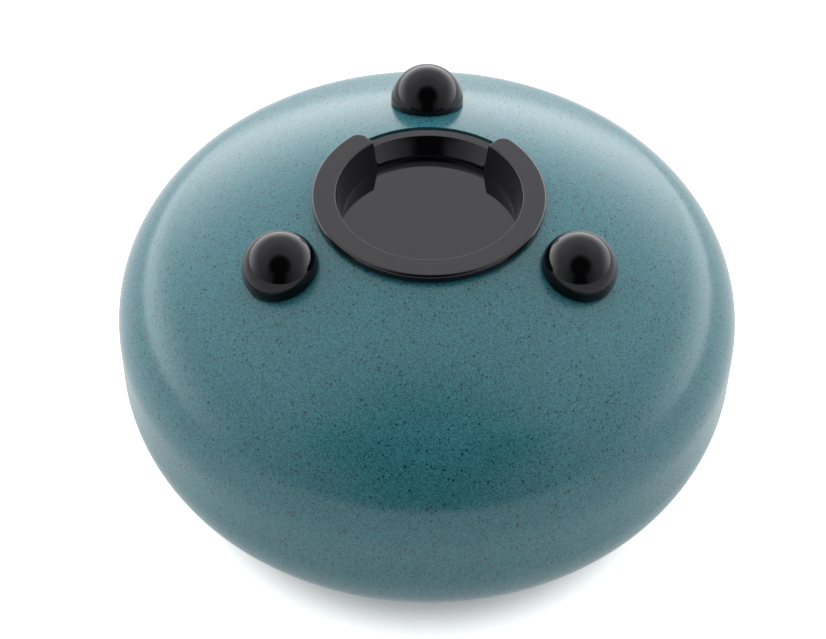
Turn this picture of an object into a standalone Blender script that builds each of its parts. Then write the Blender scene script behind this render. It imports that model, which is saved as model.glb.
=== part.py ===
"""A steel tongue drum, lying on its playing face with its base and its feet up.

Two pressed steel halves meet in a welded seam at the equator. The half that faces up is the base:
it carries three push-in rubber feet, and a sound hole that a pull-out cup closes. The half below is
the playing face, whose tongues are cut in the sheet itself. Units are metres and +Z is up. The
origin is the centre of the small flat that the drum rests on.
"""

import math

import bmesh
import bpy
from mathutils import Matrix, Vector

# Body: both halves have the same outside
EQUATOR_RADIUS = 0.127
CROWN_RADIUS = 0.2186
KNUCKLE_RADIUS = 0.0442
WALL_HALF_HEIGHT = 0.0089
STEEL = 0.0018
REST_FLAT_RADIUS = 0.012
CLEARANCE = 0.0003
TOUCH = 0.0001
MERGE_DISTANCE = 0.00001

# Weld: a V groove, ground flush outside
WELD_HALF_WIDTH = 0.0016
WELD_ROOT_HALF_WIDTH = 0.0005
WELD_BEAD = 0.0004

# Tongues: the longest at the front, shorter by equal steps from side to side
TONGUE_COUNT = 8
TONGUE_TIP_RADIUS = 0.0095
TONGUE_TIP_CENTRE = 0.0335
TONGUE_ROOT_HALF_WIDTH = 0.0155
LONGEST_TONGUE_ROOT = 0.088
SHORTEST_TONGUE_ROOT = 0.066
TONGUE_TIP_HALF_SWEEP = 80.0
SLOT_WIDTH = 0.0016
STOP_HOLE_RADIUS = 0.0019
SLOT_TOOL_START = -0.001

# Feet: domes square to the crown, pushed into holes in the base
FOOT_CIRCLE_RADIUS = 0.0661
FOOT_RADIUS = 0.0151
FOOT_SKIRT = 0.0008
FOOT_HOLE_RADIUS = 0.0043
FOOT_NECK_RADIUS = 0.0040
FOOT_BULB_RADIUS = 0.0060
FOOT_BULB_LENGTH = 0.0065
FOOT_BARB_DEPTH = 0.0005
FOOT_BARB_LENGTH = 0.0015
FOOT_PATCH_DEPTH = 0.0002
FOOT_ANGLES = {"rear_foot": 90.0, "left_foot": 210.0, "right_foot": 330.0}

# Cup: a plug with a floor, and a raised lip that is open at the back, where a slope lets a finger in
CUP_OUTER_RADIUS = 0.0432
CUP_FOOT_RADIUS = 0.0412
CUP_RIM_INNER_RADIUS = 0.0388
CUP_SLOPE_DROP = 0.0060
CUP_RIM_LEVEL = 0.0688
CUP_FLOOR_LEVEL = 0.0603
CUP_FLOOR_THICKNESS = 0.0026
CUP_COLLAR_DEPTH = 0.0054
LIP_OUTER_RADIUS = 0.0462
LIP_INNER_RADIUS = 0.0369
LIP_WALL_FOOT_RADIUS = 0.0343
LIP_TOP_LEVEL = 0.0735
LIP_EDGE_ROUND = 0.0012
LIP_CORNER_ROUND = 0.0045
LIP_GAP_ANGLE = 78.0
CUP_TURN = -2.0

# Facets
BODY_FACETS = 60
CROWN_STEPS = 6
BASE_CROWN_STEPS = 4
KNUCKLE_STEPS = 6
FOOT_FACETS = 28
DOME_STEPS = 6
HOLE_FACETS = 20
LIP_STEPS = 44
TONGUE_TIP_STEPS = 10
STOP_HOLE_STEPS = 8
LIP_CORNER_STEPS = 4
LIP_EDGE_STEPS = 2

# Worked out from the above; levels are heights above the equator until placed
SPAN = CROWN_RADIUS - KNUCKLE_RADIUS
KNUCKLE_CENTRE = EQUATOR_RADIUS - KNUCKLE_RADIUS
CROWN_CENTRE_LEVEL = WALL_HALF_HEIGHT - math.sqrt(SPAN**2 - KNUCKLE_CENTRE**2)
TANGENT_ANGLE = math.asin(KNUCKLE_CENTRE / SPAN)
SOUND_HOLE_RADIUS = CUP_OUTER_RADIUS + CLEARANCE


def crown_level(radius, depth=0.0):
    """Height above the equator of the crown at this radius, this far under the outside."""
    return CROWN_CENTRE_LEVEL + math.sqrt((CROWN_RADIUS - depth) ** 2 - radius**2)


EQUATOR_HEIGHT = crown_level(REST_FLAT_RADIUS)
LIP_UNDERSIDE_LEVEL = crown_level(SOUND_HOLE_RADIUS) + CLEARANCE


def clear_scene():
    for thing in list(bpy.data.objects):
        bpy.data.objects.remove(thing, do_unlink=True)


def make_material(name, color, roughness, metallic=0.0, coat=0.0):
    material = bpy.data.materials.new(name)
    material.use_nodes = True
    shader = material.node_tree.nodes["Principled BSDF"]
    shader.inputs["Base Color"].default_value = (*color, 1.0)
    shader.inputs["Roughness"].default_value = roughness
    shader.inputs["Metallic"].default_value = metallic
    shader.inputs["Coat Weight"].default_value = coat
    return material


def add_object(name, mesh, material=None, location=(0.0, 0.0, 0.0)):
    thing = bpy.data.objects.new(name, mesh)
    thing.location = location
    bpy.context.scene.collection.objects.link(thing)
    if material is not None:
        mesh.materials.append(material)
    return thing


def hide_as_tool(thing):
    thing.hide_render = True
    thing.display_type = "WIRE"
    return thing


def arc(centre, radius, start, end, steps):
    """Points on an arc in the (radius, height) plane; angles run from +Z towards +X, in radians."""
    angles = [start + (end - start) * step / steps for step in range(steps + 1)]
    return [(centre[0] + radius * math.sin(a), centre[1] + radius * math.cos(a)) for a in angles]


def turned(name, profile, facets, closed, material=None, location=(0.0, 0.0, 0.0)):
    """A body turned about its own Z axis. The profile runs down its outer side."""
    mesh = bpy.data.meshes.new(name)
    points = [(radius, 0.0, height) for radius, height in profile]
    edges = [(i, i + 1) for i in range(len(points) - 1)]
    if closed:
        edges.append((len(points) - 1, 0))
    mesh.from_pydata(points, edges, [])
    thing = add_object(name, mesh, material, location)
    screw = thing.modifiers.new("Turn", "SCREW")
    screw.steps = facets
    screw.render_steps = facets
    screw.use_merge_vertices = True
    screw.merge_threshold = MERGE_DISTANCE
    screw.use_smooth_shade = True
    return thing


def cut(thing, tool, operation="DIFFERENCE"):
    step = thing.modifiers.new(tool.name, "BOOLEAN")
    step.operation = operation
    step.solver = "EXACT"
    step.object = tool


def half_outline(depth, first_radius, end_level, crown_steps):
    """One half's surface at this depth under the outside, from first_radius out to the seam."""
    first_angle = math.asin(first_radius / (CROWN_RADIUS - depth))
    crown_centre = (0.0, CROWN_CENTRE_LEVEL)
    knuckle_centre = (KNUCKLE_CENTRE, WALL_HALF_HEIGHT)
    crown = arc(crown_centre, CROWN_RADIUS - depth, first_angle, TANGENT_ANGLE, crown_steps)
    knuckle = arc(knuckle_centre, KNUCKLE_RADIUS - depth, TANGENT_ANGLE, math.pi / 2, KNUCKLE_STEPS)
    return crown + knuckle[1:] + [(EQUATOR_RADIUS - depth, end_level)]


def make_base_shell(material):
    outside = half_outline(0.0, SOUND_HOLE_RADIUS, WELD_HALF_WIDTH + CLEARANCE, BASE_CROWN_STEPS)
    root = WELD_ROOT_HALF_WIDTH + CLEARANCE
    inside = half_outline(STEEL, SOUND_HOLE_RADIUS, root, BASE_CROWN_STEPS)
    profile = outside + inside[::-1]
    shell = turned("base_shell", profile, BODY_FACETS, True, material, (0, 0, EQUATOR_HEIGHT))
    for name, angle in FOOT_ANGLES.items():
        cut(shell, make_foot_hole(name + "_hole", angle))
    return shell


def make_playing_shell(material):
    outside = half_outline(0.0, REST_FLAT_RADIUS, WELD_HALF_WIDTH + CLEARANCE, CROWN_STEPS)
    root = WELD_ROOT_HALF_WIDTH + CLEARANCE
    inside = half_outline(STEEL, REST_FLAT_RADIUS, root, CROWN_STEPS)
    outside.insert(0, (0.0, outside[0][1]))
    inside.insert(0, (0.0, inside[0][1]))
    profile = [(radius, -level) for radius, level in inside + outside[::-1]]
    shell = turned("playing_shell", profile, BODY_FACETS, False, material, (0, 0, EQUATOR_HEIGHT))
    for number in range(TONGUE_COUNT):
        cut(shell, make_tongue_slot(number))
    return shell


def make_seam_weld(material):
    root_radius = EQUATOR_RADIUS - STEEL
    profile = [
        (EQUATOR_RADIUS, WELD_HALF_WIDTH),
        (EQUATOR_RADIUS, -WELD_HALF_WIDTH),
        (root_radius, -WELD_ROOT_HALF_WIDTH),
        (root_radius - WELD_BEAD, 0.0),
        (root_radius, WELD_ROOT_HALF_WIDTH),
    ]
    return turned("seam_weld", profile, BODY_FACETS, True, material, (0, 0, EQUATOR_HEIGHT))


def tongue_root_radius(number):
    """Tongues get shorter in turn from the front, going alternately right and left."""
    share = number / (TONGUE_COUNT - 1)
    return LONGEST_TONGUE_ROOT + (SHORTEST_TONGUE_ROOT - LONGEST_TONGUE_ROOT) * share


def tongue_angle(number):
    """Angle in degrees of a tongue's middle: 0 is straight in front, then right and left in turn."""
    step = 360.0 / TONGUE_COUNT
    places = (number + 1) // 2
    side = 1 if number % 2 else -1
    return 270.0 + side * places * step


def tongue_path(root):
    """Middle line of the slot round a tongue whose tip points to the centre, in plan along +X."""
    shares = [1.0 - 2.0 * step / TONGUE_TIP_STEPS for step in range(TONGUE_TIP_STEPS + 1)]
    tip = [
        (TONGUE_TIP_CENTRE - TONGUE_TIP_RADIUS * math.cos(a), TONGUE_TIP_RADIUS * math.sin(a))
        for a in [math.radians(TONGUE_TIP_HALF_SWEEP * share) for share in shares]
    ]
    return [(root, TONGUE_ROOT_HALF_WIDTH)] + tip + [(root, -TONGUE_ROOT_HALF_WIDTH)]


def unit(a, b):
    return (Vector(b) - Vector(a)).normalized()


def stop_hole(centre, heading):
    """The round end of a slot: most of a circle, entered and left at the slot's two sides."""
    half_mouth = math.asin(0.5 * SLOT_WIDTH / STOP_HOLE_RADIUS)
    facing = math.atan2(heading.y, heading.x)
    first = facing - (math.pi - half_mouth)
    sweep = 2 * (math.pi - half_mouth)
    steps = STOP_HOLE_STEPS
    angles = [first + sweep * step / steps for step in range(steps + 1)]
    reach = STOP_HOLE_RADIUS
    return [(centre[0] + reach * math.cos(a), centre[1] + reach * math.sin(a)) for a in angles]


def slot_side(path, side):
    """The slot's edge on one side of its middle line, without the two ends."""
    edge = []
    for before, here, after in zip(path, path[1:], path[2:]):
        along = (unit(before, here) + unit(here, after)).normalized()
        edge.append((here[0] - side * along.y, here[1] + side * along.x))
    return edge


def slot_outline(root):
    path = tongue_path(root)
    half = 0.5 * SLOT_WIDTH
    right = slot_side(path, -half)
    left = slot_side(path, half)
    end = stop_hole(path[-1], unit(path[-2], path[-1]))
    start = stop_hole(path[0], unit(path[1], path[0]))
    return right + end + left[::-1] + start


def make_tongue_slot(number):
    """A tool that cuts one U-shaped slot straight down through the playing face."""
    turn = Matrix.Rotation(math.radians(tongue_angle(number)), 3, "Z")
    bm = bmesh.new()
    outline = slot_outline(tongue_root_radius(number))
    corners = [bm.verts.new(turn @ Vector((x, y, SLOT_TOOL_START))) for x, y in outline]
    face = bm.faces.new(corners)
    raised = bmesh.ops.extrude_face_region(bm, geom=[face])["geom"]
    tops = [v for v in raised if isinstance(v, bmesh.types.BMVert)]
    bmesh.ops.translate(bm, verts=tops, vec=(0, 0, 0.5 * EQUATOR_HEIGHT))
    bmesh.ops.recalc_face_normals(bm, faces=bm.faces)
    mesh = bpy.data.meshes.new(f"tongue_slot_{number + 1}")
    bm.to_mesh(mesh)
    bm.free()
    return hide_as_tool(add_object(mesh.name, mesh))


def foot_place(angle):
    """Centre of a foot's seat on the base, with +Z along the crown's outward normal."""
    lean = math.asin(FOOT_CIRCLE_RADIUS / CROWN_RADIUS)
    height = EQUATOR_HEIGHT + CROWN_CENTRE_LEVEL
    around = Matrix.Rotation(math.radians(angle), 4, "Z")
    outward = Matrix.Rotation(lean, 4, "Y")
    up = Matrix.Translation((0, 0, CROWN_RADIUS))
    return Matrix.Translation((0, 0, height)) @ around @ outward @ up


def make_foot_hole(name, angle):
    bm = bmesh.new()
    bmesh.ops.create_cone(
        bm,
        cap_ends=True,
        segments=HOLE_FACETS,
        radius1=FOOT_HOLE_RADIUS,
        radius2=FOOT_HOLE_RADIUS,
        depth=8 * STEEL,
    )
    mesh = bpy.data.meshes.new(name)
    bm.to_mesh(mesh)
    bm.free()
    hole = hide_as_tool(add_object(name, mesh))
    hole.matrix_world = foot_place(angle)
    return hole


def foot_profile():
    """Dome, seat that follows the crown, neck through the steel, and barbed bulb."""
    seat_sag = CROWN_RADIUS - math.sqrt(CROWN_RADIUS**2 - FOOT_RADIUS**2)
    dome = arc((0.0, FOOT_SKIRT), FOOT_RADIUS, 0.0, math.pi / 2, DOME_STEPS)
    seat = [(FOOT_RADIUS, CLEARANCE - seat_sag), (FOOT_NECK_RADIUS, CLEARANCE)]
    neck_end = -STEEL - CLEARANCE
    bulb = [
        (FOOT_NECK_RADIUS, neck_end),
        (FOOT_BULB_RADIUS, neck_end - FOOT_BARB_DEPTH),
        (FOOT_BULB_RADIUS, neck_end - FOOT_BARB_DEPTH - FOOT_BARB_LENGTH),
        (0.5 * FOOT_BULB_RADIUS, neck_end - FOOT_BULB_LENGTH),
        (0.0, neck_end - FOOT_BULB_LENGTH),
    ]
    return dome + seat + bulb


def make_foot(name, angle, material):
    foot = turned(name, foot_profile(), FOOT_FACETS, False, material)
    foot.matrix_world = foot_place(angle)
    cut(foot, make_patch_tool(name + "_patch", foot))
    return foot


def make_patch_tool(name, foot):
    """A block whose underside is level and trims the dome's highest point to a small flat."""
    dome_centre = foot.matrix_world @ Vector((0, 0, FOOT_SKIRT))
    level = dome_centre.z + FOOT_RADIUS - FOOT_PATCH_DEPTH
    half = FOOT_RADIUS
    bm = bmesh.new()
    bmesh.ops.create_cube(bm, size=2 * half)
    mesh = bpy.data.meshes.new(name)
    bm.to_mesh(mesh)
    bm.free()
    return hide_as_tool(add_object(name, mesh, None, (dome_centre.x, dome_centre.y, level + half)))


def cup_wall_radius(level):
    """Inner radius of the cup's drafted wall at this level."""
    share = (level - CUP_FLOOR_LEVEL) / (LIP_TOP_LEVEL - CUP_FLOOR_LEVEL)
    return LIP_WALL_FOOT_RADIUS + (LIP_INNER_RADIUS - LIP_WALL_FOOT_RADIUS) * share


def cup_profile():
    """Floor, short wall, finger slope and rim of the cup as they are where the lip is open."""
    slope_foot = CUP_RIM_LEVEL - CUP_SLOPE_DROP
    underside = CUP_FLOOR_LEVEL - CUP_FLOOR_THICKNESS
    return [
        (0.0, CUP_FLOOR_LEVEL),
        (LIP_WALL_FOOT_RADIUS, CUP_FLOOR_LEVEL),
        (cup_wall_radius(slope_foot), slope_foot),
        (CUP_RIM_INNER_RADIUS, CUP_RIM_LEVEL),
        (CUP_OUTER_RADIUS, CUP_RIM_LEVEL),
        (CUP_OUTER_RADIUS, CUP_RIM_LEVEL - CUP_COLLAR_DEPTH),
        (CUP_FOOT_RADIUS, underside),
        (0.0, underside),
    ]


def lip_section():
    """Section of the raised lip and the drafted wall under it, which fills the finger slope."""
    slope_foot = CUP_RIM_LEVEL - CUP_SLOPE_DROP
    inside_wall = CUP_OUTER_RADIUS - CLEARANCE
    return [
        (cup_wall_radius(slope_foot) + TOUCH, slope_foot - STEEL),
        (cup_wall_radius(slope_foot) + TOUCH, slope_foot),
        (LIP_INNER_RADIUS, LIP_TOP_LEVEL),
        (LIP_OUTER_RADIUS, LIP_TOP_LEVEL),
        (LIP_OUTER_RADIUS, LIP_UNDERSIDE_LEVEL),
        (inside_wall, LIP_UNDERSIDE_LEVEL),
        (inside_wall, CUP_RIM_LEVEL - CUP_COLLAR_DEPTH),
        (inside_wall - STEEL, slope_foot - STEEL),
    ]


def plan_radius(vert):
    return math.hypot(vert.co.x, vert.co.y)


def bevel_edges(bm, edges, width, steps):
    bmesh.ops.bevel(bm, geom=edges, offset=width, segments=steps, profile=0.5, affect="EDGES")


def is_lip_corner(edge):
    """True for the upright edge of the lip's outer face at either end."""
    at_rim = all(plan_radius(v) > LIP_OUTER_RADIUS - TOUCH for v in edge.verts)
    upright = abs(edge.verts[0].co.z - edge.verts[1].co.z) > LIP_TOP_LEVEL - LIP_UNDERSIDE_LEVEL - TOUCH
    return at_rim and upright and any(len(face.verts) > 4 for face in edge.link_faces)


def round_lip(bm):
    """Rounds the two upright corners at the lip's ends, then its top outer edge."""
    bevel_edges(bm, [edge for edge in bm.edges if is_lip_corner(edge)], LIP_CORNER_ROUND, LIP_CORNER_STEPS)
    top = [face for face in bm.faces if min(v.co.z for v in face.verts) > LIP_TOP_LEVEL - TOUCH]
    outer = [
        edge
        for face in top
        for edge in face.edges
        if not all(other in top for other in edge.link_faces)
        and all(plan_radius(v) > LIP_INNER_RADIUS + LIP_EDGE_ROUND for v in edge.verts)
    ]
    bevel_edges(bm, outer, LIP_EDGE_ROUND, LIP_EDGE_STEPS)


def make_lip():
    """The C-shaped lip, which the cup takes in by a union. The lip's gap faces +Y."""
    sweep = math.radians(360.0 - LIP_GAP_ANGLE)
    first = math.radians(90.0 + 0.5 * LIP_GAP_ANGLE)
    bm = bmesh.new()
    start = Matrix.Rotation(first, 3, "Z")
    corners = [bm.verts.new(start @ Vector((radius, 0.0, level))) for radius, level in lip_section()]
    face = bm.faces.new(corners)
    bmesh.ops.spin(bm, geom=[face], axis=(0, 0, 1), cent=(0, 0, 0), angle=sweep, steps=LIP_STEPS)
    bmesh.ops.recalc_face_normals(bm, faces=bm.faces)
    round_lip(bm)
    mesh = bpy.data.meshes.new("lip")
    bm.to_mesh(mesh)
    bm.free()
    return hide_as_tool(add_object("lip", mesh))


def make_sound_hole_cup(material):
    """The cup's origin is on its slide axis, at the level of the equator."""
    cup = turned("sound_hole_cup", cup_profile(), BODY_FACETS, False, material)
    lip = make_lip()
    turn = Matrix.Rotation(math.radians(CUP_TURN), 4, "Z")
    for thing in (cup, lip):
        thing.matrix_world = Matrix.Translation((0, 0, EQUATOR_HEIGHT)) @ turn
    cut(cup, lip, "UNION")
    return cup


def main():
    clear_scene()
    enamel = make_material("blue_green_enamel", (0.034, 0.155, 0.188), 0.2)
    rubber = make_material("black_rubber", (0.010, 0.010, 0.011), 0.12)
    plastic = make_material("black_plastic", (0.012, 0.012, 0.013), 0.08)
    make_base_shell(enamel)
    make_playing_shell(enamel)
    make_seam_weld(enamel)
    make_sound_hole_cup(plastic)
    for name, angle in FOOT_ANGLES.items():
        make_foot(name, angle, rubber)


main()
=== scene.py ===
"""The looks of a steel tongue drum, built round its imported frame.

The drum lies on its playing face, so its base, its three domed feet and the cup that closes its
sound hole are up. The two pressed halves carry a speckled blue-green enamel, and the feet and the
cup are glossy black. Units are metres, +Z is up, and the origin is where the drum touches the floor.
"""

import math

import bpy
import numpy as np
from bpy.props import FloatProperty, FloatVectorProperty, IntProperty, PointerProperty
from mathutils import Matrix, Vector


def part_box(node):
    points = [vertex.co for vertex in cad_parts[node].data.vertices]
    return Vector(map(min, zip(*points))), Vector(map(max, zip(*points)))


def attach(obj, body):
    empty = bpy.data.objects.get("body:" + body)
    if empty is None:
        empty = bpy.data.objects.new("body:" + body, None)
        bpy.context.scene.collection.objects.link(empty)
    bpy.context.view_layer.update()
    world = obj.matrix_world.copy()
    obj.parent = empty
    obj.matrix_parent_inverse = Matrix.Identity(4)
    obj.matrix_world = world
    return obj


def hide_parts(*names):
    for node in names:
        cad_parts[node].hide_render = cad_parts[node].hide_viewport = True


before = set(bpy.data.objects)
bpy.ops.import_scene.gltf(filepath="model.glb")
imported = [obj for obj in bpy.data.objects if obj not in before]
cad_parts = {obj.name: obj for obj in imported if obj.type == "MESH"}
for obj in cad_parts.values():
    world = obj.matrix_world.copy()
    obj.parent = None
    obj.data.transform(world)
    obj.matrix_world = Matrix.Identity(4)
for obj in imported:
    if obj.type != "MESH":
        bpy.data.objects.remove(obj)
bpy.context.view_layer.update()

bl_info = {
    "name": "Tongue drum",
    "version": (1, 0, 0),
    "blender": (4, 5, 0),
    "location": "3D View > Sidebar > Drum",
    "description": "Builds a steel tongue drum with its feet and its sound-hole cup",
    "category": "Add Mesh",
}

# Read from the frame: the weld's ring gives the equator
WELD_LOW, WELD_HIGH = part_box("seam_weld")
EQUATOR_RADIUS = WELD_HIGH.x
EQUATOR_HEIGHT = 0.5 * (WELD_LOW.z + WELD_HIGH.z)
WELD_HALF_WIDTH = 0.5 * (WELD_HIGH.z - WELD_LOW.z)

# Body: both halves have the same outside, a shallow crown and a tight knuckle above a short wall
CROWN_RADIUS = 0.2186
KNUCKLE_RADIUS = 0.0442
WALL_HALF_HEIGHT = 0.0089
STEEL = 0.0018
REST_FLAT_RADIUS = 0.012
CLEARANCE = 0.0003
WELD_ROOT_HALF_WIDTH = 0.0005
WELD_BEAD = 0.0004

# Tongues
TONGUE_COUNT = 8
TONGUE_TIP_RADIUS = 0.0095
TONGUE_TIP_CENTRE = 0.0335
TONGUE_TIP_HALF_SWEEP = 80.0
TONGUE_ROOT_HALF_WIDTH = 0.0155
LONGEST_TONGUE_ROOT = 0.088
SHORTEST_TONGUE_ROOT = 0.066
SLOT_WIDTH = 0.0016
STOP_HOLE_RADIUS = 0.0019

# Feet
FOOT_CIRCLE_RADIUS = 0.0661
FOOT_RADIUS = 0.0151
FOOT_SKIRT = 0.0008
FOOT_EDGE_ROUND = 0.0006
FOOT_HOLE_RADIUS = 0.0043
FOOT_NECK_RADIUS = 0.0040
FOOT_BULB_RADIUS = 0.0060
FOOT_BULB_LENGTH = 0.0065
FOOT_BARB_DEPTH = 0.0005
FOOT_BARB_LENGTH = 0.0015
FOOT_ANGLES = {"rear_foot": 90.0, "left_foot": 210.0, "right_foot": 330.0}

# Cup and its raised lip; levels are heights above the equator
CUP_OUTER_RADIUS = 0.0432
CUP_FOOT_RADIUS = 0.0412
CUP_RIM_INNER_RADIUS = 0.0388
CUP_SLOPE_DROP = 0.0060
CUP_RIM_LEVEL = 0.0688
CUP_FLOOR_LEVEL = 0.0603
CUP_FLOOR_THICKNESS = 0.0026
CUP_COLLAR_DEPTH = 0.0054
CUP_EDGE_ROUND = 0.0005
LIP_OUTER_RADIUS = 0.0462
LIP_INNER_RADIUS = 0.0369
LIP_WALL_FOOT_RADIUS = 0.0343
LIP_TOP_LEVEL = 0.0735
LIP_EDGE_ROUND = 0.0012
LIP_INNER_EDGE_ROUND = 0.0005
LIP_CORNER_ROUND = 0.0045
LIP_END_DRAFT = 2.0
LIP_GAP_ANGLE = 78.0
CUP_TURN = -2.0

# Steps along each run of a section, and round the lip
BASE_CROWN_STEPS = 52
PLAYING_CROWN_STEPS = 46
INNER_CROWN_STEPS = 26
KNUCKLE_STEPS = 34
INNER_KNUCKLE_STEPS = 17
WALL_STEPS = 3
REST_FLAT_STEPS = 3
WELD_FACE_STEPS = 4
TONGUE_TIP_STEPS = 40
STOP_HOLE_STEPS = 24
DOME_STEPS = 40
SEAT_STEPS = 8
BULB_STEPS = 8
EDGE_STEPS = 6
CUP_FOOT_STEPS = 8
LIP_END_STEPS = 8
LIP_CORNER_STEPS = 14
LIP_SIDE_STEPS = 180
LIP_EDGE_STEPS = 8
FLOOR_STEPS = 96

# Edges that turn more than this many degrees are shaded sharp
SHARP_ANGLE = 32.0

# Points nearer to each other than this are one point
SAME_POINT = 1e-7

# A plan turns a corner where the cosine between the normals of two sides is under this
CORNER_COSINE = 0.9

# Finish: counts are for a metre, shares multiply a base colour, and ranges are values of a noise
WHITE = (1.0, 1.0, 1.0, 1.0)
CLOUDS_PER_METRE = 30.0
RIPPLES_PER_METRE = 260.0
POLISH_PATCHES_PER_METRE = 90.0
DUST_PER_METRE = 2600.0
LIGHT_GRAIN_SHARE = 1.5
DARK_GRAIN_SHARE = 0.55
DUST_SHARE = 1.5
GRAIN_RANGE = (0.32, 0.68)
WIDE_RANGE = (0.30, 0.70)
DUST_RANGE = (0.60, 0.75)
CLOUD_DEPTH = 0.10

# Specks: their radii and soft edges are shares of a cell, and a higher power makes large ones rarer
SPECK_POWER = 2.5
SPECK_EDGE = (-0.05, 0.08)
LARGEST_FINE_SPECK = 0.42
LARGEST_COARSE_SPECK = 0.38
FINE_SPECK_COVER = 0.7
COARSE_SPECK_COVER = 0.9

# Shader values: roughness, index of refraction, and the strength and depth of each bump
ENAMEL_ROUGHNESS = (0.17, 0.25)
RUBBER_ROUGHNESS = 0.05
PLASTIC_ROUGHNESS = 0.06
BLACK_ROUGHNESS_SPREAD = 0.25
ENAMEL_IOR = 1.5
RUBBER_IOR = 1.38
PLASTIC_IOR = 1.54
BLACK_SPECULAR_TINT = (0.92, 0.92, 1.0, 1.0)
ENAMEL_BUMP = (0.05, 0.0004)
BLACK_BUMP = (0.03, 0.0003)

# Light tent, in degrees. Azimuths count either way from straight in front, heights from the horizon
SIDE_STARTS = 12.0
SIDE_ENDS = 75.0
BACK_IS_FULL = 120.0
HORIZON_TOP = 35.0
HORIZON_STARTS = 60.0
HORIZON_IS_FULL = 110.0
ROOF_STARTS = 50.0
ROOF_IS_FULL = 75.0
SLIT_DARK_HALF_WIDTH = 11.0
SLIT_HALF_WIDTH = 26.0
SLIT_DARK_TOP = 46.0
SLIT_TOP = 60.0
PATCH_ABOVE_LENS = 8.0
PATCH_DARK_RADIUS = 20.0
PATCH_RADIUS = 40.0
DARK_LEVEL = 0.02

# Floor: its lift for the camera grows between these two distances from the drum's middle, both of
# them under the drum, from the shadow's lift to the stage's floor lift. The smaller lift nearer the middle is
# painted shade: it keeps the floor darker under the drum.
FLOOR_PAINTED_SHADOW_REACH = 0.088
FLOOR_CLEAR_REACH = 0.112
FLOOR_PAINTED_SHADOW_LIFT = 0.15
FLOOR_MIRROR_LIFT = 0.30
FLOOR_RADIUS = 4.0

# Worked out from the above
SPAN = CROWN_RADIUS - KNUCKLE_RADIUS
KNUCKLE_CENTRE = EQUATOR_RADIUS - KNUCKLE_RADIUS
CROWN_CENTRE_LEVEL = WALL_HALF_HEIGHT - math.sqrt(SPAN**2 - KNUCKLE_CENTRE**2)
TANGENT_ANGLE = math.degrees(math.asin(KNUCKLE_CENTRE / SPAN))
SOUND_HOLE_RADIUS = CUP_OUTER_RADIUS + CLEARANCE
LIP_UNDERSIDE_LEVEL = (
    CROWN_CENTRE_LEVEL + math.sqrt(CROWN_RADIUS**2 - SOUND_HOLE_RADIUS**2) + CLEARANCE
)
FOOT_HOLE_CUT = 4 * STEEL
SLOT_CUT_HEIGHTS = (-0.001, 0.5 * EQUATOR_HEIGHT)

# Camera, as the photograph was taken; distances are in equator radii from the drum's middle
VIEW_ELEVATION = 46.48
VIEW_DISTANCE = 7.0225
VIEW_ROLL = 0.69
VIEW_YAW = 0.6
LENS_MM = 93.03
SENSOR_MM = 36.0
SHIFT_X = -0.0169
SHIFT_Y = 0.0026


def arc(centre, radius, start, end, steps):
    """Arc in the (radius, height) plane: centre + radius (sin a, cos a), with a from +Z towards +X."""
    a = np.radians(np.linspace(start, end, steps + 1))
    return np.column_stack((centre[0] + radius * np.sin(a), centre[1] + radius * np.cos(a)))


def plan_arc(radius, start, end, steps):
    """Arc in plan round the origin: radius (cos a, sin a), with a in degrees from +X towards +Y."""
    a = np.radians(np.linspace(start, end, steps + 1))
    return radius * np.column_stack((np.cos(a), np.sin(a)))


def turned_in_plan(points, degrees):
    """Points in plan, turned about the origin from +X towards +Y."""
    a = math.radians(degrees)
    return points @ np.array(((math.cos(a), math.sin(a)), (-math.sin(a), math.cos(a))))


def between(start, end, steps):
    """Evenly spaced points on a straight line, both ends included."""
    share = np.linspace(0.0, 1.0, steps + 1)[:, None]
    return np.asarray(start) * (1.0 - share) + np.asarray(end) * share


def joined(*runs):
    """Runs of points end to end, with points that repeat the one before them left out."""
    points = np.vstack([np.atleast_2d(run) for run in runs])
    step = np.linalg.norm(np.diff(points, axis=0), axis=1)
    return points[np.concatenate(([True], step > SAME_POINT))]


def carried_round(profile, columns):
    """Surface of revolution: (r, h) and an angle u give (r cos u, r sin u, h)."""
    u = np.linspace(0.0, 2.0 * math.pi, columns, endpoint=False)
    radius = profile[:, 0, None]
    height = np.broadcast_to(profile[:, 1, None], (len(profile), columns))
    return np.stack((radius * np.cos(u), radius * np.sin(u), height), axis=-1)


def grid_quads(rows, columns, rows_wrap):
    """Quads of a grid whose columns close on themselves, and whose rows may."""
    i = np.arange(rows if rows_wrap else rows - 1)[:, None]
    j = np.arange(columns)[None, :]
    below = (i + 1) % rows
    beside = (j + 1) % columns
    corners = (i * columns + j, i * columns + beside, below * columns + beside, below * columns + j)
    return np.stack(np.broadcast_arrays(*corners), axis=-1).reshape(-1, 4)


def signed_volume(points, faces):
    """Sum of the tetrahedra from the origin to each face's fan of triangles."""
    total = 0.0
    for size in sorted({len(face) for face in faces}):
        ring = np.array([face for face in faces if len(face) == size])
        first = points[ring[:, 0]]
        for k in range(1, size - 1):
            cross = np.cross(points[ring[:, k]], points[ring[:, k + 1]])
            total += np.einsum("ij,ij->i", first, cross).sum()
    return total


def add_piece(name, points, faces, material):
    """A closed mesh with its faces turned outwards, shaded smooth up to the sharp angle."""
    if signed_volume(points, faces) < 0.0:
        faces = [face[::-1] for face in faces]
    mesh = bpy.data.meshes.new(name)
    mesh.from_pydata(points.tolist(), [], faces)
    mesh.materials.append(material)
    mesh.shade_smooth()
    mesh.set_sharp_from_angle(angle=math.radians(SHARP_ANGLE))
    piece = bpy.data.objects.new(name, mesh)
    bpy.context.scene.collection.objects.link(piece)
    return piece


def ring_piece(name, profile, columns, material):
    """A ring whose closed section is carried round Z."""
    grid = carried_round(profile, columns)
    quads = grid_quads(len(profile), columns, True)
    return add_piece(name, grid.reshape(-1, 3), quads.tolist(), material)


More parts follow.
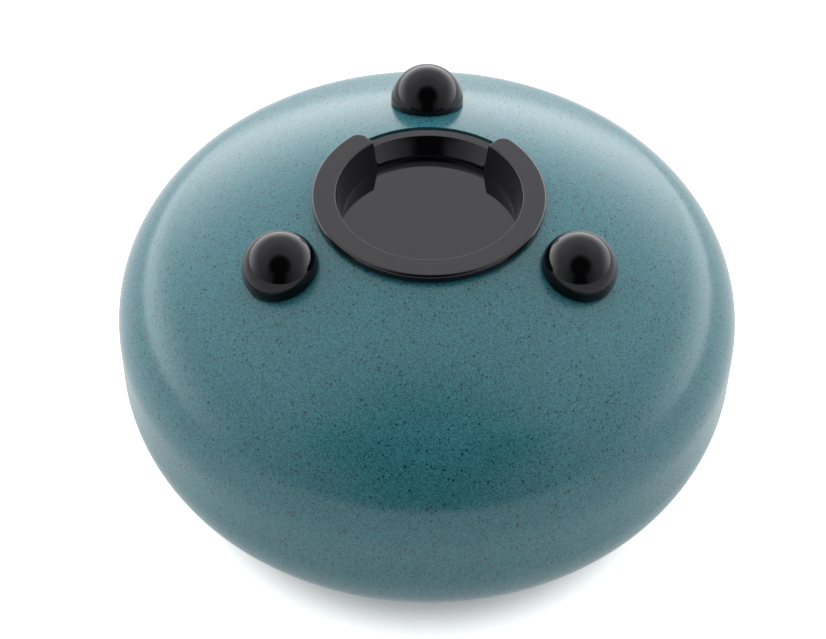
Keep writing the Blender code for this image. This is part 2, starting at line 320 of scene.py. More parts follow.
def solid_of_revolution(profile, columns):
    """Points and faces of a profile whose two ends lie on the axis, each closed by one pole."""
    grid = carried_round(profile[1:-1], columns)
    rows = len(profile) - 2
    poles = np.array([[0.0, 0.0, profile[0, 1]], [0.0, 0.0, profile[-1, 1]]])
    points = np.vstack((grid.reshape(-1, 3), poles))
    j = np.arange(columns)
    beside = (j + 1) % columns
    first_pole = np.full(columns, rows * columns)
    last = (rows - 1) * columns
    first_fan = np.column_stack((first_pole, beside, j))
    last_fan = np.column_stack((first_pole + 1, last + j, last + beside))
    quads = grid_quads(rows, columns, False)
    return points, quads.tolist() + first_fan.tolist() + last_fan.tolist()


def settle(piece):
    """Gives the piece the mesh that its modifiers make, and shades it again."""
    view = bpy.context.evaluated_depsgraph_get()
    mesh = bpy.data.meshes.new_from_object(piece.evaluated_get(view))
    mesh.name = piece.name
    piece.modifiers.clear()
    piece.data = mesh
    mesh.shade_smooth()
    mesh.set_sharp_from_angle(angle=math.radians(SHARP_ANGLE))


def combine(piece, tool, operation):
    """Cuts the tool from the piece or joins it on, and removes the tool."""
    step = piece.modifiers.new(tool.name, "BOOLEAN")
    step.operation = operation
    step.solver = "EXACT"
    step.object = tool
    settle(piece)
    bpy.data.objects.remove(tool, do_unlink=True)


def keep_flats_flat(piece):
    """Large flat faces keep their own normal where they meet a fillet."""
    step = piece.modifiers.new("Flat faces", "WEIGHTED_NORMAL")
    step.mode = "FACE_AREA"
    step.weight = 80
    step.keep_sharp = True


def install(piece, node, body):
    """Makes the piece ride on its body, and hides its node's part of the frame."""
    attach(piece, body)
    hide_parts(node)


def half_outline(depth, first_radius, end_level, crown_steps, knuckle_steps):
    """Crown arc, knuckle arc and short wall of one half, this deep under its outside."""
    first = math.degrees(math.asin(first_radius / (CROWN_RADIUS - depth)))
    crown_centre = (0.0, CROWN_CENTRE_LEVEL)
    knuckle_centre = (KNUCKLE_CENTRE, WALL_HALF_HEIGHT)
    radius = EQUATOR_RADIUS - depth
    return joined(
        arc(crown_centre, CROWN_RADIUS - depth, first, TANGENT_ANGLE, crown_steps),
        arc(knuckle_centre, KNUCKLE_RADIUS - depth, TANGENT_ANGLE, 90.0, knuckle_steps),
        between((radius, WALL_HALF_HEIGHT), (radius, end_level), WALL_STEPS),
    )


def inner_outline(first_radius):
    """The inside of one half, one sheet's thickness in, down to the weld's root."""
    level = WELD_ROOT_HALF_WIDTH
    return half_outline(STEEL, first_radius, level, INNER_CROWN_STEPS, INNER_KNUCKLE_STEPS)


def raised(profile, side=1.0):
    """Turns levels above the equator, or below it for side -1, into heights above the floor."""
    return np.column_stack((profile[:, 0], EQUATOR_HEIGHT + side * profile[:, 1]))


def foot_place(angle):
    """A foot's seat on the base, with +Z along the crown's outward normal."""
    lean = math.asin(FOOT_CIRCLE_RADIUS / CROWN_RADIUS)
    middle = Matrix.Translation((0.0, 0.0, EQUATOR_HEIGHT + CROWN_CENTRE_LEVEL))
    around = Matrix.Rotation(math.radians(angle), 4, "Z")
    outward = Matrix.Rotation(lean, 4, "Y")
    return middle @ around @ outward @ Matrix.Translation((0.0, 0.0, CROWN_RADIUS))


def placed(points, matrix):
    """Points moved by a matrix, so that the object itself stays at the origin."""
    turn = np.array(matrix.to_3x3())
    return points @ turn.T + np.array(matrix.to_translation())


def foot_profile():
    """Dome, rounded skirt, seat that follows the crown, neck, and a barbed bulb, from the top down."""
    seat_sag = CROWN_RADIUS - math.sqrt(CROWN_RADIUS**2 - FOOT_RADIUS**2)
    skirt_foot = CLEARANCE - seat_sag
    edge = (FOOT_RADIUS - FOOT_EDGE_ROUND, skirt_foot + FOOT_EDGE_ROUND)
    neck_end = -STEEL - CLEARANCE
    barb = neck_end - FOOT_BARB_DEPTH
    tip_radius = 0.5 * FOOT_BULB_RADIUS
    tip = (0.0, neck_end - FOOT_BULB_LENGTH + tip_radius)
    return joined(
        arc((0.0, FOOT_SKIRT), FOOT_RADIUS, 0.0, 90.0, DOME_STEPS),
        arc(edge, FOOT_EDGE_ROUND, 90.0, 180.0, EDGE_STEPS),
        between((edge[0], skirt_foot), (FOOT_NECK_RADIUS, CLEARANCE), SEAT_STEPS),
        (FOOT_NECK_RADIUS, neck_end),
        (FOOT_BULB_RADIUS, barb),
        (FOOT_BULB_RADIUS, barb - FOOT_BARB_LENGTH),
        arc(tip, tip_radius, 90.0, 180.0, BULB_STEPS),
    )


def tongue_root_radius(number):
    """Radius of a tongue's root: from the longest to the shortest in equal steps."""
    share = number / (TONGUE_COUNT - 1)
    return LONGEST_TONGUE_ROOT + (SHORTEST_TONGUE_ROOT - LONGEST_TONGUE_ROOT) * share


def tongue_angle(number):
    """Angle of a tongue's middle: straight in front first, then alternately right and left."""
    side = 1 if number % 2 else -1
    return 270.0 + side * ((number + 1) // 2) * 360.0 / TONGUE_COUNT


def slot_outline(number):
    """The U-shaped slot round one tongue: its middle line moved half a slot each way, and a round
    stop hole at either end. The tongue's free tip points to the centre."""
    sweep = TONGUE_TIP_HALF_SWEEP
    a = np.radians(np.linspace(sweep, -sweep, TONGUE_TIP_STEPS + 1))
    tip_x = TONGUE_TIP_CENTRE - TONGUE_TIP_RADIUS * np.cos(a)
    tip = np.column_stack((tip_x, TONGUE_TIP_RADIUS * np.sin(a)))
    root = tongue_root_radius(number)
    path = np.vstack(((root, TONGUE_ROOT_HALF_WIDTH), tip, (root, -TONGUE_ROOT_HALF_WIDTH)))
    along = np.diff(path, axis=0)
    along /= np.linalg.norm(along, axis=1)[:, None]
    middle = along[:-1] + along[1:]
    middle /= np.linalg.norm(middle, axis=1)[:, None]
    across = 0.5 * SLOT_WIDTH * np.column_stack((-middle[:, 1], middle[:, 0]))
    right = path[1:-1] - across
    left = path[1:-1] + across
    far = stop_hole(path[-1], along[-1])
    near = stop_hole(path[0], -along[0])
    return np.vstack((right, far, left[::-1], near))


def stop_hole(centre, heading):
    """Most of a circle, entered and left at the slot's two sides."""
    half_mouth = math.asin(0.5 * SLOT_WIDTH / STOP_HOLE_RADIUS)
    facing = math.atan2(heading[1], heading[0])
    sweep = math.pi - half_mouth
    a = facing + np.linspace(-sweep, sweep, STOP_HOLE_STEPS + 1)
    return centre + STOP_HOLE_RADIUS * np.column_stack((np.cos(a), np.sin(a)))


def upright_prism(outline, low, high):
    """Points and faces of a flat outline carried straight up."""
    count = len(outline)
    levels = np.array([low, high])
    points = np.column_stack((np.tile(outline, (2, 1)), np.repeat(levels, count)))
    ring = np.arange(count)
    sides = grid_quads(2, count, False).tolist()
    return points, sides + [ring[::-1].tolist(), (ring + count).tolist()]


def turned_about_z(points, degrees):
    """Points in space, turned about Z from +X towards +Y."""
    return np.column_stack((turned_in_plan(points[:, :2], degrees), points[:, 2]))


def add_nodes(tree, kind, inputs=None, **settings):
    """One shader node. An input is a value, or the output socket of another node."""
    node = tree.nodes.new(kind)
    for name, value in settings.items():
        setattr(node, name, value)
    for key, value in (inputs or {}).items():
        socket = node.inputs[key]
        if isinstance(value, bpy.types.NodeSocket):
            tree.links.new(value, socket)
        else:
            socket.default_value = value
    return node


def new_material(name):
    """A new material with its node tree and its shader node."""
    material = bpy.data.materials.new(name)
    material.use_nodes = True
    return material, material.node_tree, material.node_tree.nodes["Principled BSDF"]


def band(tree, value, low, high, from_value=0.0, to_value=1.0):
    """Smooth step from one value to another as the input goes from low to high."""
    step = add_nodes(
        tree,
        "ShaderNodeMapRange",
        {"Value": value, "From Min": low, "From Max": high, "To Min": from_value, "To Max": to_value},
        interpolation_type="SMOOTHSTEP",
    )
    return step.outputs["Result"]


def scaled(color, share):
    """A colour with its three parts multiplied, and full opacity."""
    return (*[share * c for c in color], 1.0)


def math_node(tree, operation, first, second=0.0):
    """Result of one operation on two numbers or sockets."""
    node = add_nodes(tree, "ShaderNodeMath", {0: first, 1: second}, operation=operation)
    return node.outputs[0]


def mixed(tree, factor, first, second):
    """Colour between the first, at factor 0, and the second, at factor 1."""
    inputs = {0: factor, 6: first, 7: second}
    return add_nodes(tree, "ShaderNodeMix", inputs, data_type="RGBA").outputs[2]


def blended(tree, factor, first, second):
    """Number between the first, at factor 0, and the second, at factor 1."""
    return add_nodes(tree, "ShaderNodeMix", {0: factor, 2: first, 3: second}).outputs[0]


def add_bump(tree, shader, height, strength, depth):
    """Bends the shader's normal by a height, this deep where the height is 1."""
    inputs = {"Height": height, "Strength": strength, "Distance": depth}
    bump = add_nodes(tree, "ShaderNodeBump", inputs)
    tree.links.new(bump.outputs[0], shader.inputs["Normal"])


def noise(tree, place, scale, detail=2.0, roughness=0.5):
    """Noise between 0 and 1, mostly near 0.5, with about this many waves in a metre."""
    inputs = {"Vector": place, "Scale": scale, "Detail": detail, "Roughness": roughness}
    return add_nodes(tree, "ShaderNodeTexNoise", inputs).outputs[0]


def dots(tree, place, per_metre, largest):
    """Round soft specks, one in a cell, whose radius varies from nothing to the largest share of it."""
    cells = add_nodes(tree, "ShaderNodeTexVoronoi", {"Vector": place, "Scale": per_metre})
    chance = add_nodes(tree, "ShaderNodeSeparateColor", {0: cells.outputs["Color"]}).outputs[0]
    radius = math_node(tree, "MULTIPLY", math_node(tree, "POWER", chance, SPECK_POWER), largest)
    inside = math_node(tree, "SUBTRACT", radius, cells.outputs["Distance"])
    return band(tree, inside, *SPECK_EDGE)


def enamel_material(finish):
    """Sprayed enamel: a blue-green coat with fine dark specks of two sizes, and a fine grain."""
    material, tree, shader = new_material("Speckled enamel")
    place = add_nodes(tree, "ShaderNodeTexCoord").outputs["Object"]
    grain = noise(tree, place, finish.grain_per_metre, roughness=0.7)
    cloud = noise(tree, place, CLOUDS_PER_METRE)
    light = scaled(finish.enamel, LIGHT_GRAIN_SHARE)
    dark = scaled(finish.enamel, DARK_GRAIN_SHARE)
    ground = mixed(tree, band(tree, grain, *GRAIN_RANGE), dark, light)
    ground = mixed(tree, band(tree, cloud, *WIDE_RANGE, 0.0, CLOUD_DEPTH), ground, dark)
    speck = (*finish.speck, 1.0)
    fine = dots(tree, place, finish.fine_specks_per_metre, LARGEST_FINE_SPECK)
    coarse = dots(tree, place, finish.coarse_specks_per_metre, LARGEST_COARSE_SPECK)
    ground = mixed(tree, math_node(tree, "MULTIPLY", fine, FINE_SPECK_COVER), ground, speck)
    ground = mixed(tree, math_node(tree, "MULTIPLY", coarse, COARSE_SPECK_COVER), ground, speck)
    tree.links.new(ground, shader.inputs["Base Color"])
    add_bump(tree, shader, noise(tree, place, RIPPLES_PER_METRE), *ENAMEL_BUMP)
    tree.links.new(band(tree, grain, *WIDE_RANGE, *ENAMEL_ROUGHNESS), shader.inputs["Roughness"])
    shader.inputs["IOR"].default_value = ENAMEL_IOR
    return material


def black_material(name, color, roughness, ior):
    """Moulded black: a polish that is a little uneven, under a hardly seen ripple."""
    material, tree, shader = new_material(name)
    place = add_nodes(tree, "ShaderNodeTexCoord").outputs["Object"]
    cloud = noise(tree, place, POLISH_PATCHES_PER_METRE, detail=3.0, roughness=0.6)
    dust = noise(tree, place, DUST_PER_METRE, detail=1.0)
    dusty = band(tree, dust, *DUST_RANGE)
    ground = mixed(tree, dusty, (*color, 1.0), scaled(color, DUST_SHARE))
    tree.links.new(ground, shader.inputs["Base Color"])
    least = (1.0 - BLACK_ROUGHNESS_SPREAD) * roughness
    most = (1.0 + BLACK_ROUGHNESS_SPREAD) * roughness
    tree.links.new(band(tree, cloud, *WIDE_RANGE, least, most), shader.inputs["Roughness"])
    add_bump(tree, shader, cloud, *BLACK_BUMP)
    shader.inputs["IOR"].default_value = ior
    shader.inputs["Specular Tint"].default_value = BLACK_SPECULAR_TINT
    return material


def finish_of(name, maker):
    """The material of this name, made when it is first asked for."""
    return bpy.data.materials.get(name) or maker()


def enamel():
    """The finish of the body and its weld."""
    finish = bpy.context.scene.drum_finish
    return finish_of("Speckled enamel", lambda: enamel_material(finish))


def rubber():
    """The finish of the feet."""
    name = "Glossy rubber"
    color = bpy.context.scene.drum_finish.rubber
    return finish_of(name, lambda: black_material(name, color, RUBBER_ROUGHNESS, RUBBER_IOR))


def plastic():
    """The finish of the cup."""
    name = "Gloss plastic"
    color = bpy.context.scene.drum_finish.plastic
    return finish_of(name, lambda: black_material(name, color, PLASTIC_ROUGHNESS, PLASTIC_IOR))


class DrumDetail(bpy.types.PropertyGroup):
    """How fine the meshes are, and how wide the lip's gap is"""

    body_columns: IntProperty(name="Body columns", description="Columns round each half", default=300, min=24)
    small_columns: IntProperty(
        name="Foot columns", description="Columns round each foot", default=96, min=12
    )
    cup_columns: IntProperty(name="Cup columns", description="Columns round the cup", default=256, min=24)
    lip_gap: FloatProperty(
        name="Lip gap",
        description="Angle that the lip leaves open",
        default=math.radians(LIP_GAP_ANGLE),
        subtype="ANGLE",
    )


class DrumFinish(bpy.types.PropertyGroup):
    """Colours of the drum, and how fine its enamel's pattern is"""

    enamel: FloatVectorProperty(
        name="Enamel", description="Ground colour of the body", default=(0.038, 0.172, 0.208), subtype="COLOR"
    )
    speck: FloatVectorProperty(
        name="Specks", description="Colour of the dark specks", default=(0.006, 0.040, 0.052), subtype="COLOR"
    )
    plastic: FloatVectorProperty(
        name="Cup", description="Colour of the cup", default=(0.0025, 0.0022, 0.0030), subtype="COLOR"
    )
    rubber: FloatVectorProperty(
        name="Feet", description="Colour of the feet", default=(0.0020, 0.0020, 0.0023), subtype="COLOR"
    )
    fine_specks_per_metre: FloatProperty(
        name="Fine specks", description="Fine specks in a metre", default=1000.0
    )
    coarse_specks_per_metre: FloatProperty(
        name="Coarse specks", description="Coarse specks in a metre", default=620.0
    )
    grain_per_metre: FloatProperty(name="Grain", description="Grains in a metre", default=1700.0)


class DrumStage(bpy.types.PropertyGroup):
    """Brightness of the light tent and the floor"""

    tent_level: FloatProperty(
        name="Back", description="Brightness of the tent behind the drum", default=1.40, min=0.0
    )
    side_level: FloatProperty(
        name="Sides", description="Brightness of the tent's sides", default=1.00, min=0.0
    )
    overhead_level: FloatProperty(
        name="Overhead", description="Brightness of the tent's top", default=1.05, min=0.0
    )
    front_level: FloatProperty(
        name="Front", description="Brightness beside the tent's front slit", default=0.25, min=0.0
    )
    horizon_level: FloatProperty(
        name="Horizon", description="Extra brightness low down behind", default=2.4, min=0.0
    )
    floor_grey: FloatProperty(name="Floor", description="Floor colour", default=0.88, min=0.0, max=1.0)
    floor_lift: FloatProperty(
        name="Floor lift",
        description="Light added to the floor for the camera, past the shadow under the drum",
        default=0.80,
    )


class DRUM_OT_base_shell(bpy.types.Operator):
    """Make the base half, with the sound hole and three foot holes"""

    bl_idname = "drum.base_shell"
    bl_label = "Base shell"

    def execute(self, context):
        columns = context.scene.drum_detail.body_columns
        start = SOUND_HOLE_RADIUS
        outside = half_outline(0.0, start, WELD_HALF_WIDTH, BASE_CROWN_STEPS, KNUCKLE_STEPS)
        inside = inner_outline(start)
        section = raised(np.vstack((outside, inside[::-1])))
        shell = ring_piece("enamelled_base_shell", section, columns, enamel())
        hole = joined(
            (0.0, FOOT_HOLE_CUT),
            (FOOT_HOLE_RADIUS, FOOT_HOLE_CUT),
            (FOOT_HOLE_RADIUS, -FOOT_HOLE_CUT),
            (0.0, -FOOT_HOLE_CUT),
        )
        points, faces = solid_of_revolution(hole, context.scene.drum_detail.small_columns // 2)
        for angle in FOOT_ANGLES.values():
            tool = add_piece("foot_hole", placed(points, foot_place(angle)), faces, enamel())
            combine(shell, tool, "DIFFERENCE")
        install(shell, "base_shell", "root")
        return {"FINISHED"}


class DRUM_OT_playing_shell(bpy.types.Operator):
    """Make the playing half, with its tongues cut in the sheet"""

    bl_idname = "drum.playing_shell"
    bl_label = "Playing shell"

    def execute(self, context):
        start = REST_FLAT_RADIUS
        outside = half_outline(0.0, start, WELD_HALF_WIDTH, PLAYING_CROWN_STEPS, KNUCKLE_STEPS)
        inside = inner_outline(start)
        outer = joined(between((0.0, outside[0, 1]), outside[0], REST_FLAT_STEPS), outside)
        inner = joined(between((0.0, inside[0, 1]), inside[0], REST_FLAT_STEPS), inside)
        profile = raised(np.vstack((inner, outer[::-1])), -1.0)
        points, faces = solid_of_revolution(profile, context.scene.drum_detail.body_columns)
        shell = add_piece("enamelled_playing_shell", points, faces, enamel())
        for number in range(TONGUE_COUNT):
            points, faces = upright_prism(slot_outline(number), *SLOT_CUT_HEIGHTS)
            points = turned_about_z(points, tongue_angle(number))
            combine(shell, add_piece("tongue_slot", points, faces, enamel()), "DIFFERENCE")
        install(shell, "playing_shell", "root")
        return {"FINISHED"}


class DRUM_OT_seam_weld(bpy.types.Operator):
    """Make the seam weld, ground flush and enamelled over"""

    bl_idname = "drum.seam_weld"
    bl_label = "Seam weld"

    def execute(self, context):
        root_radius = EQUATOR_RADIUS - STEEL
        section = joined(
            between(
                (EQUATOR_RADIUS, WELD_HALF_WIDTH),
                (EQUATOR_RADIUS, -WELD_HALF_WIDTH),
                WELD_FACE_STEPS,
            ),
            (root_radius, -WELD_ROOT_HALF_WIDTH),
            (root_radius - WELD_BEAD, 0.0),
            (root_radius, WELD_ROOT_HALF_WIDTH),
        )
        columns = context.scene.drum_detail.body_columns
        weld = ring_piece("enamelled_seam_weld", raised(section), columns, enamel())
        install(weld, "seam_weld", "root")
        return {"FINISHED"}


class DRUM_OT_feet(bpy.types.Operator):
    """Make the three domed feet, square to the crown"""

    bl_idname = "drum.feet"
    bl_label = "Feet"

    def execute(self, context):
        points, faces = solid_of_revolution(foot_profile(), context.scene.drum_detail.small_columns)
        for node, angle in FOOT_ANGLES.items():
            foot = add_piece("dome_" + node, placed(points, foot_place(angle)), faces, rubber())
            install(foot, node, "root")
        return {"FINISHED"}


def cup_wall_radius(level):
    """Inner radius of the cup's drafted wall at this level."""
    share = (level - CUP_FLOOR_LEVEL) / (LIP_TOP_LEVEL - CUP_FLOOR_LEVEL)
    return LIP_WALL_FOOT_RADIUS + (LIP_INNER_RADIUS - LIP_WALL_FOOT_RADIUS) * share


def cup_profile():
    """The cup where its lip is open: floor, short wall, finger slope, rounded rim, collar, taper,
    underside."""
    slope_foot = CUP_RIM_LEVEL - CUP_SLOPE_DROP
    slope_foot_radius = cup_wall_radius(slope_foot)
    slope = math.degrees(math.atan2(CUP_RIM_INNER_RADIUS - slope_foot_radius, CUP_SLOPE_DROP))
    underside = CUP_FLOOR_LEVEL - CUP_FLOOR_THICKNESS
    inner_edge = (CUP_RIM_INNER_RADIUS + CUP_EDGE_ROUND, CUP_RIM_LEVEL - CUP_EDGE_ROUND)
    outer_edge = (CUP_OUTER_RADIUS - CUP_EDGE_ROUND, CUP_RIM_LEVEL - CUP_EDGE_ROUND)
    foot_edge = (CUP_FOOT_RADIUS - 2 * CUP_EDGE_ROUND, underside + 2 * CUP_EDGE_ROUND)
    return joined(
        (0.0, CUP_FLOOR_LEVEL),
        (LIP_WALL_FOOT_RADIUS, CUP_FLOOR_LEVEL),
        (slope_foot_radius, slope_foot),
        arc(inner_edge, CUP_EDGE_ROUND, slope - 90.0, 0.0, EDGE_STEPS),
        arc(outer_edge, CUP_EDGE_ROUND, 0.0, 90.0, EDGE_STEPS),
        (CUP_OUTER_RADIUS, CUP_RIM_LEVEL - CUP_COLLAR_DEPTH),
        arc(foot_edge, 2 * CUP_EDGE_ROUND, 90.0, 180.0, CUP_FOOT_STEPS),
        (0.0, underside),
    )


def lip_plan(gap):
    """Plan of the lip as one anticlockwise ring: an end face, a round corner, the outer side, and
    back by the inner side. Each of its sides is marked inner, end or neither. The gap faces +Y."""
    first = 90.0 + 0.5 * math.degrees(gap)
    sweep = 360.0 - math.degrees(gap)
    arm = LIP_OUTER_RADIUS - LIP_CORNER_ROUND
    lean = math.degrees(math.asin(LIP_CORNER_ROUND / arm))
    centre = np.array((arm * math.cos(math.radians(lean)), LIP_CORNER_ROUND))
    end_face = between((LIP_INNER_RADIUS, 0.0), (centre[0], 0.0), LIP_END_STEPS)[:-1]
    corner = centre + plan_arc(LIP_CORNER_ROUND, -90.0, lean, LIP_CORNER_STEPS)
    start = np.vstack((end_face, corner))
    outer = plan_arc(LIP_OUTER_RADIUS, lean, sweep - lean, LIP_SIDE_STEPS)[1:-1]
    finish = turned_in_plan(start[::-1] * (1.0, -1.0), sweep)
    inner = plan_arc(LIP_INNER_RADIUS, sweep, 0.0, LIP_SIDE_STEPS)[1:-1]
    ring = turned_in_plan(np.vstack((start, outer, finish, inner)), first)
    fading = np.linspace(1.0, 0.0, len(corner) - 1)
    end = np.concatenate((np.ones(len(end_face)), fading, np.zeros(len(outer) + 1)))
    end = np.concatenate((end, fading[::-1], np.ones(len(end_face)), np.zeros(len(inner) + 1)))
    is_inner = np.concatenate((np.zeros(len(ring) - len(inner) - 1), np.ones(len(inner) + 1)))
    return ring, is_inner, end


def stepped_out(ring, step):
    """The ring with each of its sides moved outwards by its own step. A corner goes where its two
    moved sides meet, and a point on a smooth run goes along the mean of their normals."""
    side = np.roll(ring, -1, axis=0) - ring
    side /= np.linalg.norm(side, axis=1)[:, None]
    after = np.column_stack((side[:, 1], -side[:, 0]))
    before = np.roll(after, 1, axis=0)
    last_step = np.roll(step, 1)
    dot = np.einsum("ij,ij->i", before, after)
    is_corner = dot < CORNER_COSINE
    scale = 1.0 / np.where(is_corner, 1.0 - dot**2, 1.0)
    along_before = (scale * (last_step - dot * step))[:, None]
    along_after = (scale * (step - dot * last_step))[:, None]
    meeting = before * along_before + after * along_after
    smooth = (before + after) * (0.5 * (step + last_step) / (1.0 + dot))[:, None]
    return ring + np.where(is_corner[:, None], meeting, smooth)


def lip_rows(is_inner, end):
    """Rows of the lip from its foot to its top: the levels of its points, how far its sides step
    outwards, and whether the row keeps within the cup's own wall."""
    inward = np.maximum(is_inner, end)
    point_inward = np.maximum(inward, np.roll(inward, 1))
    wall_draft = (LIP_INNER_RADIUS - LIP_WALL_FOOT_RADIUS) / (LIP_TOP_LEVEL - CUP_FLOOR_LEVEL)
    draft = is_inner * wall_draft + end * math.tan(math.radians(LIP_END_DRAFT))
    edge = LIP_EDGE_ROUND * (1.0 - inward) + LIP_INNER_EDGE_ROUND * inward
    point_edge = LIP_EDGE_ROUND * (1.0 - point_inward) + LIP_INNER_EDGE_ROUND * point_inward
    base = LIP_INNER_EDGE_ROUND * (1.0 - inward)
    foot = CUP_RIM_LEVEL - CUP_SLOPE_DROP
    level_of_all = np.ones(len(end))
    rows = []
    for level in (foot - STEEL, foot, LIP_UNDERSIDE_LEVEL):
        rows.append((level * level_of_all, draft * (LIP_TOP_LEVEL - level), True))
    for a in np.radians(np.linspace(0.0, 90.0, EDGE_STEPS + 1)):
        level = LIP_UNDERSIDE_LEVEL + LIP_INNER_EDGE_ROUND * (1.0 - math.cos(a))
        step = draft * (LIP_TOP_LEVEL - level) - base * (1.0 - math.sin(a))
        rows.append((level * level_of_all, step, False))
    for a in np.radians(np.linspace(0.0, 90.0, LIP_EDGE_STEPS + 1)):
        level = LIP_TOP_LEVEL - point_edge * (1.0 - math.sin(a))
        step = draft * edge * (1.0 - math.sin(a)) - edge * (1.0 - math.cos(a))
        rows.append((level, step, False))
    return rows


def lip_solid(gap):
    """The raised C-shaped lip: its plan, stepped out row by row. Below its underside it keeps within
    the cup's own wall, and it fills the finger slope there."""
    ring, is_inner, end = lip_plan(gap)
    within = CUP_OUTER_RADIUS - CLEARANCE
    rows = []
    for level, step, within_wall in lip_rows(is_inner, end):
        plan = stepped_out(ring, step)
        if within_wall:
            reach = np.linalg.norm(plan, axis=1)[:, None]
            plan = plan * np.minimum(1.0, within / reach)
        rows.append(np.column_stack((plan, level)))
    points = np.vstack(rows)
    count = len(ring)
    last = (len(rows) - 1) * count
    caps = [np.arange(count)[::-1].tolist(), (last + np.arange(count)).tolist()]
    return points, grid_quads(len(rows), count, False).tolist() + caps


class DRUM_OT_sound_hole_cup(bpy.types.Operator):
    """Make the cup that closes the sound hole, with its C-shaped lip"""

    bl_idname = "drum.sound_hole_cup"
    bl_label = "Sound hole cup"

    def execute(self, context):
        detail = context.scene.drum_detail
        points, faces = solid_of_revolution(cup_profile(), detail.cup_columns)
        lift = np.array((0.0, 0.0, EQUATOR_HEIGHT))
        points = turned_about_z(points + lift, CUP_TURN)
        cup = add_piece("moulded_sound_hole_cup", points, faces, plastic())
        points, faces = lip_solid(detail.lip_gap)
        lip = add_piece("lip", turned_about_z(points + lift, CUP_TURN), faces, plastic())
        combine(cup, lip, "UNION")
        keep_flats_flat(cup)
        install(cup, "sound_hole_cup", "cup")
        return {"FINISHED"}


def azimuth_band(tree, azimuth, low, high, *levels):
    """A band between two azimuths in degrees."""
    return band(tree, azimuth, math.radians(low), math.radians(high), *levels)


def height_band(tree, height, low, high, *levels):
    """A band between two heights in degrees over the horizon."""
    return band(tree, height, math.sin(math.radians(low)), math.sin(math.radians(high)), *levels)


def tent_light(tree, azimuth, height, settings):
    """The tent's brightness: dim in front, brighter at the sides and behind, most so low down
    behind, and even overhead."""
    side = azimuth_band(tree, azimuth, SIDE_STARTS, SIDE_ENDS, settings.front_level, settings.side_level)
    extra = settings.tent_level - settings.side_level
    back = azimuth_band(tree, azimuth, SIDE_ENDS, BACK_IS_FULL, 0.0, extra)
    around = math_node(tree, "ADD", side, back)
    horizon = height_band(tree, height, HORIZON_TOP, 0.0, 0.0, settings.horizon_level)
    behind = azimuth_band(tree, azimuth, HORIZON_STARTS, HORIZON_IS_FULL)
    around = math_node(tree, "ADD", around, math_node(tree, "MULTIPLY", horizon, behind))
    roof = height_band(tree, height, ROOF_STARTS, ROOF_IS_FULL)
    return blended(tree, roof, around, settings.overhead_level)


def camera_dark(tree, way, azimuth, height):
    """How dark the tent is where the camera stands: a slit below it, and a round patch whose middle
    is a little above it."""
    slit = azimuth_band(tree, azimuth, SLIT_HALF_WIDTH, SLIT_DARK_HALF_WIDTH)
    below_lens = height_band(tree, height, SLIT_TOP, SLIT_DARK_TOP)
    slit = math_node(tree, "MULTIPLY", slit, below_lens)
    e = math.radians(VIEW_ELEVATION + PATCH_ABOVE_LENS)
    patch_way = (0.0, -math.cos(e), math.sin(e))
    facing = add_nodes(tree, "ShaderNodeVectorMath", {0: way, 1: patch_way}, operation="DOT_PRODUCT")
    edge = math.cos(math.radians(PATCH_RADIUS))
    core = math.cos(math.radians(PATCH_DARK_RADIUS))
    patch = band(tree, facing.outputs["Value"], edge, core)
    return math_node(tree, "MAXIMUM", slit, patch)


def tent_world(settings):
    """A white light tent round the drum, dark where the camera stands. The camera itself sees white."""
    world = bpy.data.worlds.new("Light tent")
    bpy.context.scene.world = world
    world.use_nodes = True
    tree = world.node_tree
    tree.nodes.clear()
    way = add_nodes(tree, "ShaderNodeTexCoord").outputs["Generated"]
    axes = add_nodes(tree, "ShaderNodeSeparateXYZ", {0: way})
    towards_front = math_node(tree, "MULTIPLY", axes.outputs["Y"], -1.0)
    azimuth = math_node(tree, "ARCTAN2", axes.outputs["X"], towards_front)
    azimuth = math_node(tree, "ABSOLUTE", azimuth)
    height = axes.outputs["Z"]
    level = tent_light(tree, azimuth, height, settings)
    dark = camera_dark(tree, way, azimuth, height)
    level = blended(tree, dark, level, DARK_LEVEL)
    seen = add_nodes(tree, "ShaderNodeLightPath").outputs["Is Camera Ray"]
    level = blended(tree, seen, level, 1.0)
    light = add_nodes(tree, "ShaderNodeBackground", {"Color": WHITE, "Strength": level})
    out = tree.nodes.new("ShaderNodeOutputWorld")
    tree.links.new(light.outputs[0], out.inputs["Surface"])


def floor_material(settings):
    """A plain pale floor. The camera sees it lifted to white past the shadow under the drum, and lifted
    less under the drum, which is painted shade there. Glossy pieces reflect it a little lifted everywhere."""
    material, tree, shader = new_material("Pale floor")
    grey = settings.floor_grey
    shader.inputs["Base Color"].default_value = (grey, grey, grey, 1.0)
    shader.inputs["Roughness"].default_value = 0.8
    shader.inputs["Specular IOR Level"].default_value = 0.0
    place = add_nodes(tree, "ShaderNodeTexCoord").outputs["Object"]
    reach = add_nodes(tree, "ShaderNodeVectorMath", {0: place}, operation="LENGTH").outputs["Value"]
    lifts = (FLOOR_PAINTED_SHADOW_LIFT, settings.floor_lift)
    # Painted shade: the lift for the camera is smaller under the drum, so the floor is darker there
    clear = band(tree, reach, FLOOR_PAINTED_SHADOW_REACH, FLOOR_CLEAR_REACH, *lifts)
    path = add_nodes(tree, "ShaderNodeLightPath")
    lift = math_node(tree, "MULTIPLY", path.outputs["Is Camera Ray"], clear)
    mirrored = math_node(tree, "MULTIPLY", path.outputs["Is Glossy Ray"], FLOOR_MIRROR_LIFT)
    lift = math_node(tree, "MAXIMUM", lift, mirrored)
    shader.inputs["Emission Color"].default_value = WHITE
    tree.links.new(lift, shader.inputs["Emission Strength"])
    return material


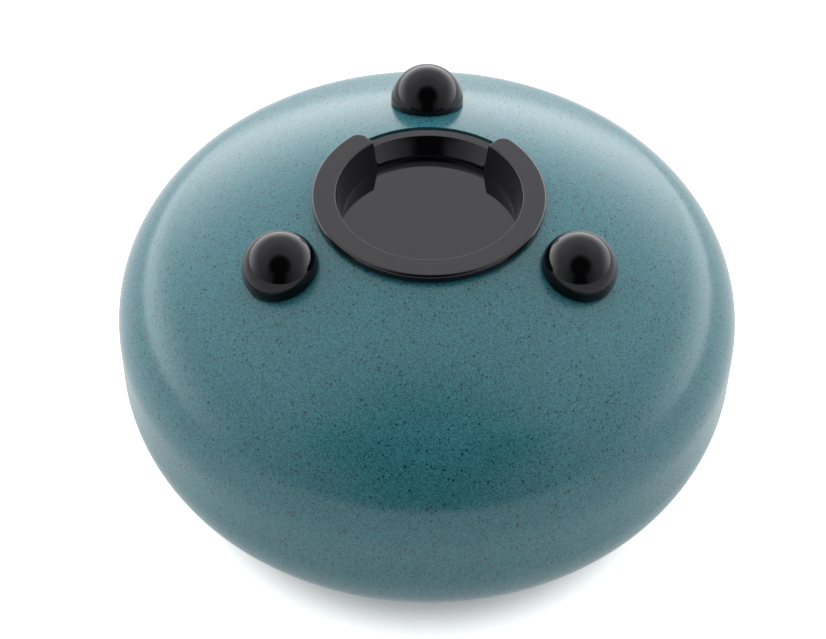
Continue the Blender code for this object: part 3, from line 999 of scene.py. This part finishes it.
def add_camera():
    """The camera looks at the drum's middle, which the shift moves to its place in the picture."""
    camera = bpy.data.cameras.new("Camera")
    camera.sensor_width = SENSOR_MM
    camera.lens = LENS_MM
    camera.shift_x = SHIFT_X
    camera.shift_y = SHIFT_Y
    camera.clip_start = 0.01
    camera.clip_end = 50.0
    eye = bpy.data.objects.new("Camera", camera)
    bpy.context.scene.collection.objects.link(eye)
    e = math.radians(VIEW_ELEVATION)
    reach = VIEW_DISTANCE * EQUATOR_RADIUS
    middle = Matrix.Translation((0.0, 0.0, EQUATOR_HEIGHT))
    yaw = Matrix.Rotation(math.radians(-VIEW_YAW), 4, "Z")
    roll = Matrix.Rotation(math.radians(-VIEW_ROLL), 4, "Y")
    away = Matrix.Translation((0.0, -reach * math.cos(e), reach * math.sin(e)))
    tilt = Matrix.Rotation(0.5 * math.pi - e, 4, "X")
    eye.matrix_world = middle @ yaw @ roll @ away @ tilt
    bpy.context.scene.camera = eye


class DRUM_OT_stage(bpy.types.Operator):
    """Make the floor, the light tent and the camera"""

    bl_idname = "drum.stage"
    bl_label = "Stage"

    def execute(self, context):
        settings = context.scene.drum_stage
        tent_world(settings)
        disc = arc((0.0, 0.0), FLOOR_RADIUS, 0.0, 360.0, FLOOR_STEPS)[:-1]
        mesh = bpy.data.meshes.new("Floor")
        points = np.column_stack((disc, np.zeros(len(disc))))
        mesh.from_pydata(points.tolist(), [], [list(range(len(disc)))[::-1]])
        mesh.materials.append(floor_material(settings))
        floor = bpy.data.objects.new("Floor", mesh)
        context.scene.collection.objects.link(floor)
        add_camera()
        context.scene.view_settings.view_transform = "Standard"
        return {"FINISHED"}


class DRUM_PT_panel(bpy.types.Panel):
    """Lists the drum's pieces and settings"""

    bl_idname = "DRUM_PT_panel"
    bl_label = "Tongue drum"
    bl_space_type = "VIEW_3D"
    bl_region_type = "UI"
    bl_category = "Drum"

    def draw(self, context):
        column = self.layout.column(align=True)
        for operator in OPERATORS:
            column.operator(operator.bl_idname)
        for name in SETTINGS:
            settings = getattr(context.scene, name)
            for key in settings.bl_rna.properties.keys():
                if key not in ("rna_type", "name"):
                    column.prop(settings, key)


SETTINGS = {"drum_detail": DrumDetail, "drum_finish": DrumFinish, "drum_stage": DrumStage}
OPERATORS = (
    DRUM_OT_base_shell,
    DRUM_OT_playing_shell,
    DRUM_OT_seam_weld,
    DRUM_OT_feet,
    DRUM_OT_sound_hole_cup,
    DRUM_OT_stage,
)
CLASSES = (*SETTINGS.values(), *OPERATORS, DRUM_PT_panel)


def register():
    for kind in CLASSES:
        bpy.utils.register_class(kind)
    for name, group in SETTINGS.items():
        setattr(bpy.types.Scene, name, PointerProperty(type=group))


def unregister():
    for name in SETTINGS:
        delattr(bpy.types.Scene, name)
    for kind in reversed(CLASSES):
        bpy.utils.unregister_class(kind)


def main():
    register()
    bpy.ops.drum.base_shell()
    bpy.ops.drum.playing_shell()
    bpy.ops.drum.seam_weld()
    bpy.ops.drum.feet()
    bpy.ops.drum.sound_hole_cup()
    bpy.ops.drum.stage()


if __name__ == "__main__":
    main()
